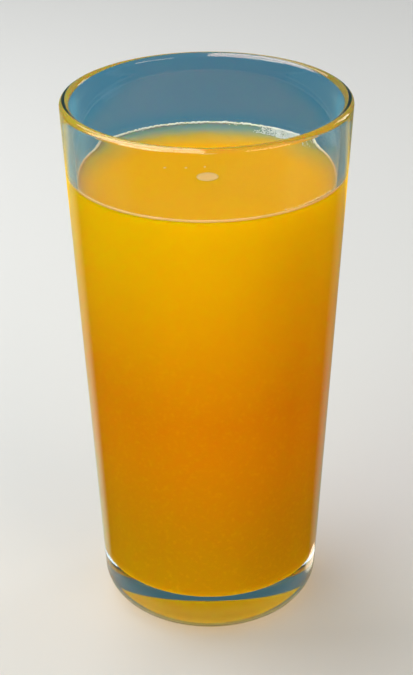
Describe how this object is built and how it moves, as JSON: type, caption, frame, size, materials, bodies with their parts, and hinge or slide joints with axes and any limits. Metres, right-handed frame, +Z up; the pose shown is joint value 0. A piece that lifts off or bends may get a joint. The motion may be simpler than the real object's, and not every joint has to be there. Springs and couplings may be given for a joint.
{
  "type": "glass of orange juice",
  "caption": "Tall clear tumbler with a rounded rim and a heavy rounded base, filled with cloudy orange juice to a little below the rim.",
  "frame": {"origin": "centre of the base, on the plane that the glass stands on", "axes": "+Z up along the glass's axis of rotation; the picture's viewer stands at -Y"},
  "size_m": [0.072, 0.072, 0.1414],
  "materials": {
    "clear_glass": "clear polished glass with a faint blue-grey cast",
    "cloudy_juice": "cloudy orange juice, deep yellow-orange with a wet surface"
  },
  "bodies": {
    "root": {"tumbler": "clear_glass", "orange_juice": "cloudy_juice"}
  },
  "joints": []
}
